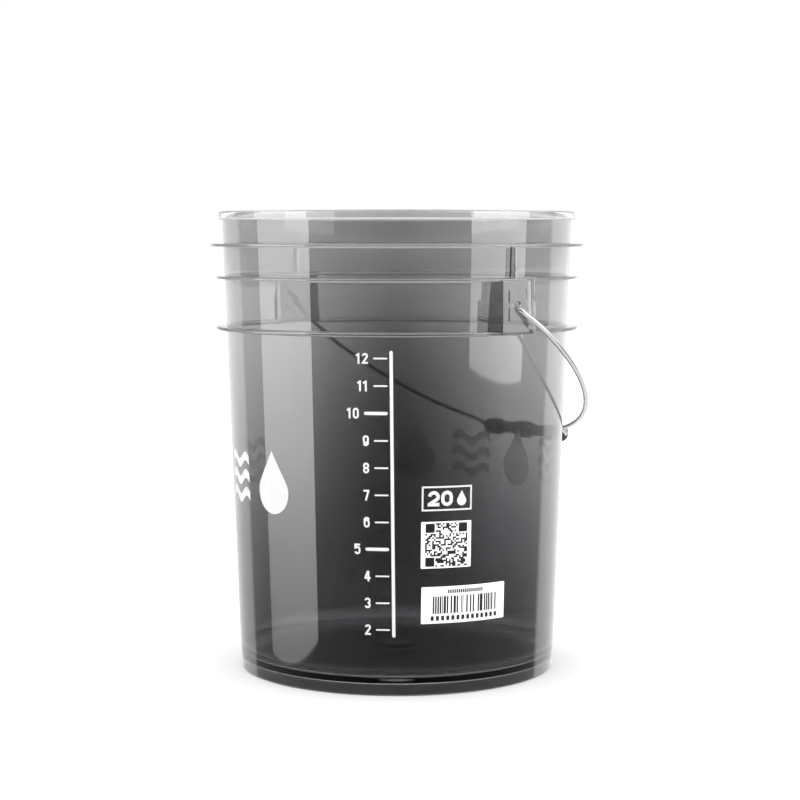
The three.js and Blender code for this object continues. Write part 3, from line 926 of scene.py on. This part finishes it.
scaleSet = {
    "azimuth": -39.75, "lean": -0.0084, "litre": 20.64 * mm, "first": 2, "last": 12,
    "firstHeight": 51.6 * mm, "line": 2.5 * mm, "below": 5.8 * mm, "above": 5.7 * mm,
    "tick": (10.6 * mm, 1.2 * mm), "major": (18 * mm, 2.5 * mm), "gap": 2.9 * mm,
    "figures": 8.1 * mm, "figureGap": 3.9 * mm,
}


def makeScale():
    s = scaleSet
    tall = (s["last"] - s["first"]) * s["litre"]
    middle = tall / 2
    line = bars(screenInk, s["line"], tall + s["below"] + s["above"], corner=0.48 * s["line"])
    parts = [moved(line, 0, (s["above"] - s["below"]) / 2)]
    for first, last in ((2, 4), (6, 9), (11, 12), (5, 5), (10, 10)):
        length, thick = s["major"] if first % 5 == 0 else s["tick"]
        rows = last - first + 1
        ticks = bars(screenInk, length, thick, rows=rows, pitch=(0, s["litre"]), corner=0.48 * thick)
        rise = ((first + last) / 2 - s["first"]) * s["litre"] - middle
        parts.append(moved(ticks, -s["gap"] - length / 2, rise))
    for litre in range(s["first"], s["last"] + 1):
        length = s["major" if litre % 5 == 0 else "tick"][0]
        number, wide = figures(str(litre), s["figures"])
        rise = (litre - s["first"]) * s["litre"] - middle
        parts.append(moved(number, -s["gap"] - length - s["figureGap"] - wide / 2, rise))
    mesh = onWall(joined(parts), s["azimuth"], s["firstHeight"] + middle, lean=s["lean"])
    finishPrint("litre_scale_print", mesh, screenInk)
    print("scale made")


markSet = {
    "capacityAzimuth": -21.67, "capacityHeight": 151.9 * mm, "capacitySize": (39.8 * mm, 18.9 * mm),
    "frame": 1.3 * mm, "figures": 11.7 * mm, "figuresWider": 1.4, "figuresBolder": 1.3,
    "figuresAt": -5.5 * mm, "smallDrop": (7.5 * mm, 11.7 * mm), "smallDropAt": 11.5 * mm,
    "rowAzimuths": [-84.3, 134.2], "rowStep": -22.2, "rowCount": 4, "rowHeight": 159.5 * mm,
    "dropSize": (34 * mm, 49 * mm), "waveSize": (38 * mm, 7 * mm), "waveRise": 3.2 * mm,
}


def dropOutline(width, height):
    radius = width / 2
    middle = -height / 2 + radius
    tip = height / 2
    lean = math.degrees(math.asin(radius / (tip - middle)))
    return arc(0, middle, radius, 180 - lean, 360 + lean, 40) + [(0, tip)]


def waveOutline(width, thick, rise, steps=32):
    edge = [(-width / 2 + width * i / steps, rise * math.sin(3 * math.pi * i / steps))
            for i in range(steps + 1)]
    return [(x, y - thick / 2) for x, y in edge] + [(x, y + thick / 2) for x, y in reversed(edge)]


def makeMarks():
    m = markSet
    width, height = m["capacitySize"]
    bar = m["frame"]
    number = figures("20", m["figures"], m["figuresWider"], m["figuresBolder"])[0]
    parts = [
        moved(bars(screenInk, width, bar), 0, (height - bar) / 2),
        moved(bars(screenInk, width, bar), 0, -(height - bar) / 2),
        moved(bars(screenInk, bar, height - 2 * bar), (width - bar) / 2, 0),
        moved(bars(screenInk, bar, height - 2 * bar), -(width - bar) / 2, 0),
        moved(number, m["figuresAt"], 0),
        moved(filledShape(dropOutline(*m["smallDrop"])), m["smallDropAt"], 0),
    ]
    mesh = onWall(joined(parts), m["capacityAzimuth"], m["capacityHeight"])
    finishPrint("capacity_print", mesh, screenInk)
    pieces = []
    for first in m["rowAzimuths"]:
        for i in range(m["rowCount"]):
            if i % 2 == 0:
                shape = filledShape(dropOutline(*m["dropSize"]))
            else:
                thick = m["waveSize"][1]
                shape = joined([moved(filledShape(waveOutline(*m["waveSize"], m["waveRise"])), 0, y)
                                for y in (-2 * thick, 0, 2 * thick)])
            pieces.append(onWall(shape, first + i * m["rowStep"], m["rowHeight"]))
    finishPrint("drop_and_wave_print", joined(pieces), screenInk)
    print("marks made")


labelSet = {
    "film": 0.12 * mm, "corner": 0.7 * mm, "blocks": 25, "block": 1.32 * mm, "square": 7.0 * mm,
    "bars": 92, "bar": 0.61 * mm, "barHeight": 13.4 * mm,
    "dashRise": 10.2 * mm, "kept": 0.5,
}


def labelPlace(node):  # middle azimuth, middle height, width and height of a label's CAD sheet
    low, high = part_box(node)
    angles = [math.degrees(math.atan2(v.co.y, v.co.x)) for v in frame["nodes"][node].data.vertices]
    middle = (low.z + high.z) / 2
    width = math.radians(max(angles) - min(angles)) * wallRadius(middle)
    return (max(angles) + min(angles)) / 2, middle, width, high.z - low.z


def makeLabel(node, name, drawInk):
    azimuth, height, wide, tall = labelPlace(node)
    film = bars(labelFilm, wide, tall, corner=labelSet["corner"], thickness=labelSet["film"])
    sheet = finishPrint(name, onWall(film, azimuth, height), labelFilm)
    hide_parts(node)
    ink = onWall(drawInk(), azimuth, height, lift=inkSet["lift"] + labelSet["film"] + 0.01 * mm)
    finishPrint(name + "_ink", ink, labelInk)


def blockPattern():  # random blocks between three plain corner squares; it stands for no message
    s = labelSet
    grid = bars(labelInk, s["block"], s["block"], s["blocks"], s["blocks"],
                (s["block"] + 0.02 * mm,) * 2, kept=s["kept"], seed=11)
    edge = s["blocks"] * s["block"] / 2
    corners = [(-1, 1), (1, 1), (-1, -1)]
    clear = edge - s["square"] - 0.6 * mm

    def emptyCorners(work):
        extra = [v for v in work.verts
                 if any(v.co.x * a > clear and v.co.y * b > clear for a, b in corners)]
        bmesh.ops.delete(work, geom=extra, context="VERTS")
    edited(grid, emptyCorners)
    middle = edge - s["square"] / 2
    squares = [moved(bars(labelInk, s["square"], s["square"], corner=0.8 * mm), a * middle, b * middle)
               for a, b in corners]
    return joined([grid, *squares])


def barPattern():  # random bars between two rows of plain dashes; it stands for no number
    s = labelSet
    stripes = bars(labelInk, s["bar"], s["barHeight"], s["bars"], 1, (s["bar"] + 0.005 * mm, 0),
                   kept=s["kept"], seed=5)
    above = bars(labelInk, 1.2 * mm, 2.8 * mm, 17, 1, (1.75 * mm, 0))
    below = bars(labelInk, 2.4 * mm, 3.6 * mm, 14, 1, (4.1 * mm, 0), corner=0.5 * mm)
    return joined([stripes, moved(above, 0, s["dashRise"]), moved(below, 0, -s["dashRise"])])


def makeLabels():
    makeLabel("instruction_label", "code_label", blockPattern)
    makeLabel("barcode_label", "bar_label", barPattern)
    print("labels made")


makeStage()
makeBucket()
makeBail()
makeGrip()
makeScale()
makeMarks()
makeLabels()
